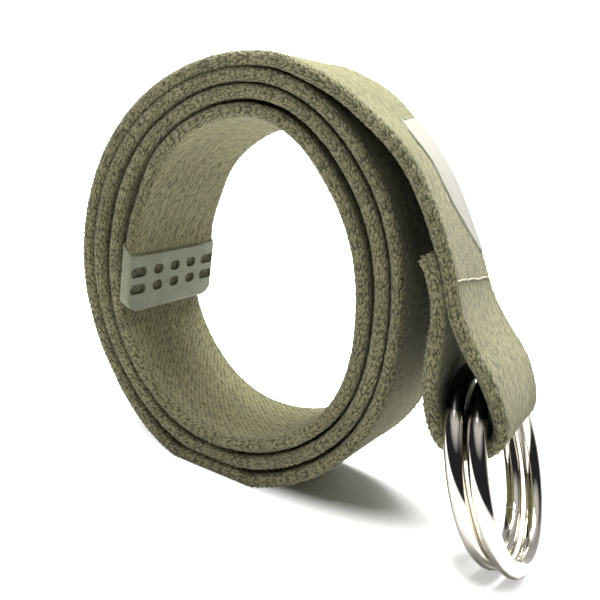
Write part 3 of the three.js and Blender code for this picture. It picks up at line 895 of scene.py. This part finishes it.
# Places along the tail and the film's front edge there, across the webbing.
FILM_FRONT = np.array([
    (32.4, -0.2),
    (36.0, -2.2),
    (40.0, -2.5),
    (46.0, -0.8),
    (51.6, -1.3),
    (57.3, 1.3),
    (63.5, 8.0),
    (70.8, 16.6),
])
FILM_LIFT = 0.02
FILM_THICK = 0.04
# The film climbs onto the thicker woven edge from this place across, over some width.
EDGE_CLIMB = 0.42
EDGE_CLIMB_START = 15.4
EDGE_CLIMB_WIDTH = 1.6
FILM_STEPS = 24
# Where its faces meet at more than this, the film has a crease.
FILM_CREASE = math.radians(40)
FILM_WHITE = (0.57, 0.56, 0.49, 1)


def clear_film():
    """The strip's material: thin milky film, a little glossy, that the webbing shows through."""
    material, tree, surface = new_material("clear_film", **{
        "Base Color": FILM_WHITE,
        "Alpha": 0.8,
        "Specular IOR Level": 0.25,
    })
    place = placed(tree, "ShaderNodeTexCoord").outputs["Object"]
    creases = noise(tree, place, 160.0, 3.0)
    add_bump(tree, surface, creases, 0.35, 0.0003)
    tree.links.new(stretched(tree, creases, 0, 1, 0.28, 0.5), surface.inputs["Roughness"])
    return material


film_rows = int((FILM_END - FILM_BACK_START) / ROW_SPACING)
front_along = np.linspace(FILM_FRONT_START, FILM_END, film_rows)
back_along = np.linspace(FILM_BACK_START, FILM_END, film_rows)
film_front = np.interp(front_along, FILM_FRONT[:, 0], FILM_FRONT[:, 1])
film_share = np.linspace(0, 1, FILM_STEPS)
film_along = front_along[:, None] + (back_along - front_along)[:, None] * film_share
film_across = film_front[:, None] + (FILM_BACK - film_front)[:, None] * film_share
# The top face climbs as a smooth step, and its front edge is pressed into the weave. A known fault:
# the underside should take film_top[:, ::-1]. As it is, it rises through the top face in front.
edge_step = np.clip((film_across - EDGE_CLIMB_START) / EDGE_CLIMB_WIDTH, 0, 1)
climb = EDGE_CLIMB * edge_step ** 2 * (3 - 2 * edge_step)
film_top = WEBBING_THICK / 2 + FILM_LIFT + FILM_THICK + climb
film_top[:, 0] -= FILM_LIFT + FILM_THICK
film_points = at_tail(
    np.concatenate([film_along, film_along[:, ::-1]], axis=1).ravel(),
    np.concatenate([film_across, film_across[:, ::-1]], axis=1).ravel(),
    np.concatenate([film_top, film_top - FILM_THICK], axis=1).ravel(),
).reshape(film_rows, 2 * FILM_STEPS, 3)
film_round = np.linspace(0, 2 * FILM_BACK, 2 * FILM_STEPS + 1)
film_mesh = closed_tube("film_strip_sheet", film_points, back_along, film_round)
film_mesh.set_sharp_from_angle(angle=FILM_CREASE)
film = added("film", film_mesh, clear_film())
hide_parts("film_strip")
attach(film, "root")

# The table and the light.
# The belt stands on a white table that runs up into a backdrop, which glows, so that both show
# pure white. To the camera the table also glows outside spots round the belt's foot, a painted glow
# that hides its shadows there. A broad soft lamp hangs over it, and the room behind the camera is dark.
TABLE_WHITE = (0.86, 0.86, 0.86, 1)
TABLE_FRONT = -0.6
TABLE_BACK = 1.0
TABLE_HALF_WIDTH = 2.2
BACKDROP_RADIUS = 0.8
BACKDROP_HEIGHT = 2.2
# How bright the backdrop's glow shows to the camera, how much of that lights the belt, and between
# which places along Y the glow rises to its full.
BACKDROP_GLOW = 1.1
GLOW_ON_BELT = 0.17
GLOW_FROM = 0.12
GLOW_TO = 0.6
# Spots round the belt's foot where its shadow shows. Columns: middle, half length along X and half
# width along Y, in millimetres, and how much of the shadow shows. Outside them the table glows white
# to the camera, a painted glow that hides its shadows there.
SHADE_SPOTS = [
    ((-6.0, 8.0), (46.0, 19.0), 1.0),
    ((61.0, -7.0), (9.0, 9.0), 0.6),
]
SHADE_EDGE = (0.7, 1.35)
# The camera's place, the point that it looks at, its roll and its lens on a 36 mm wide sensor.
CAMERA_PLACE = (0.0901, -0.1978, 0.0994)
CAMERA_TARGET = (-0.0089, 0.0073, 0.0481)
CAMERA_ROLL = math.radians(10.33)
CAMERA_LENS = 49.95
# The lamp: its place, the point that it faces, its side and its power in watts.
LAMP_PLACE = (-0.1, 0.09, 0.75)
LAMP_TARGET = (0.0, 0.0, 0.05)
LAMP_SIDE = 0.5
LAMP_WATTS = 14.8
# The room's colours. It is bright in directions near to straight back and to straight up, and
# dark in all others. Each pair is where the dark begins and where it is full, along Y and Z.
ROOM_BRIGHT = (0.6, 0.6, 0.6, 1)
ROOM_DARK = (0.020, 0.019, 0.022, 1)
DARK_FROM_BACK = (0.75, 0.45)
DARK_FROM_ABOVE = (0.85, 0.6)


def table_mesh():
    """The table and backdrop: a profile along Y and Z, carried along X.

    It runs level to the back, turns up through a quarter circle, and goes straight up.
    """
    turn = np.linspace(0, math.pi / 2, 24)
    wall = TABLE_BACK + BACKDROP_RADIUS
    y = np.concatenate([[TABLE_FRONT], TABLE_BACK + BACKDROP_RADIUS * np.sin(turn), [wall]])
    z = np.concatenate([[0.0], BACKDROP_RADIUS * (1 - np.cos(turn)), [BACKDROP_HEIGHT]])
    x = np.array([-TABLE_HALF_WIDTH, TABLE_HALF_WIDTH])
    points = np.stack(np.broadcast_arrays(x[None, :], y[:, None], z[:, None]), axis=-1)
    i = np.arange(len(y) - 1)
    quads = np.stack([2 * i, 2 * i + 1, 2 * i + 3, 2 * i + 2], axis=-1)
    mesh = bpy.data.meshes.new("table_top")
    mesh.from_pydata(points.reshape(-1, 3), [], quads.tolist())
    mesh.shade_smooth()
    return mesh


def facing(place, target, roll=0.0):
    """The matrix that puts a camera or lamp at a place, facing a target and rolled about its view."""
    away = (Vector(place) - Vector(target)).to_track_quat("Z", "Y").to_matrix().to_4x4()
    return Matrix.Translation(place) @ away @ Matrix.Rotation(roll, 4, "Z")


def white_table():
    """The table's material: matt white, glowing at the back and, to the camera, off the shadows.

    In each spot, with r the distance from its middle in half lengths and half widths, the glow
    rises to full as a smooth step over the spot's edge. The spots' glows are multiplied.
    """
    material, tree, surface = new_material("white_table", **{
        "Base Color": TABLE_WHITE,
        "Roughness": 0.6,
        "Emission Color": (1, 1, 1, 1),
    })
    place = placed(tree, "ShaderNodeTexCoord").outputs["Object"]
    back = placed(tree, "ShaderNodeSeparateXYZ", {0: place}).outputs["Y"]
    glow = stretched(tree, back, GLOW_FROM, GLOW_TO, 0.0, BACKDROP_GLOW, curve="SMOOTHSTEP")
    off_shadows = 1
    for (middle_x, middle_y), (half_length, half_width), shown in SHADE_SPOTS:
        middle = (middle_x * MM, middle_y * MM, 0)
        per_half = (1 / (half_length * MM), 1 / (half_width * MM), 0)
        from_middle = placed(tree, "ShaderNodeVectorMath", {0: place, 1: middle}, operation="SUBTRACT")
        in_halves = placed(tree, "ShaderNodeVectorMath", {0: from_middle.outputs[0], 1: per_half},
                           operation="MULTIPLY")
        away = placed(tree, "ShaderNodeVectorMath", {0: in_halves.outputs[0]}, operation="LENGTH")
        rise = stretched(tree, away.outputs["Value"], *SHADE_EDGE, 1 - shown, 1.0, curve="SMOOTHSTEP")
        off_shadows = worked_out(tree, "MULTIPLY", off_shadows, rise)
    # To the camera the table glows at full outside the spots, a painted glow over its shadows.
    seen = placed(tree, "ShaderNodeLightPath").outputs["Is Camera Ray"]
    to_belt = worked_out(tree, "MULTIPLY", glow, GLOW_ON_BELT)
    to_camera = worked_out(tree, "MAXIMUM", glow, off_shadows)
    tree.links.new(mixed(tree, seen, to_belt, to_camera), surface.inputs["Emission Strength"])
    return material


table = added("table", table_mesh(), white_table())

lamp_light = bpy.data.lights.new("overhead", "AREA")
lamp_light.shape = "SQUARE"
lamp_light.size = LAMP_SIDE
lamp_light.energy = LAMP_WATTS
lamp = bpy.data.objects.new("overhead", lamp_light)
lamp.matrix_world = facing(LAMP_PLACE, LAMP_TARGET)
bpy.context.scene.collection.objects.link(lamp)

world = bpy.data.worlds.new("studio_room")
world.use_nodes = True
room = world.node_tree
direction = placed(room, "ShaderNodeTexCoord").outputs["Generated"]
towards = placed(room, "ShaderNodeSeparateXYZ", {0: direction}).outputs
off_the_back = stretched(room, towards["Y"], *DARK_FROM_BACK)
below_the_top = stretched(room, towards["Z"], *DARK_FROM_ABOVE)
dark_share = worked_out(room, "MULTIPLY", off_the_back, below_the_top)
room_colour = mixed_colour(room, dark_share, ROOM_BRIGHT, ROOM_DARK)
room.links.new(room_colour, room.nodes["Background"].inputs["Color"])
bpy.context.scene.world = world
bpy.context.scene.view_settings.view_transform = "Standard"

camera_data = bpy.data.cameras.new("camera")
camera_data.lens = CAMERA_LENS
camera_data.sensor_width = 36.0
camera = bpy.data.objects.new("camera", camera_data)
camera.matrix_world = facing(CAMERA_PLACE, CAMERA_TARGET, CAMERA_ROLL)
bpy.context.scene.collection.objects.link(camera)
bpy.context.scene.camera = camera
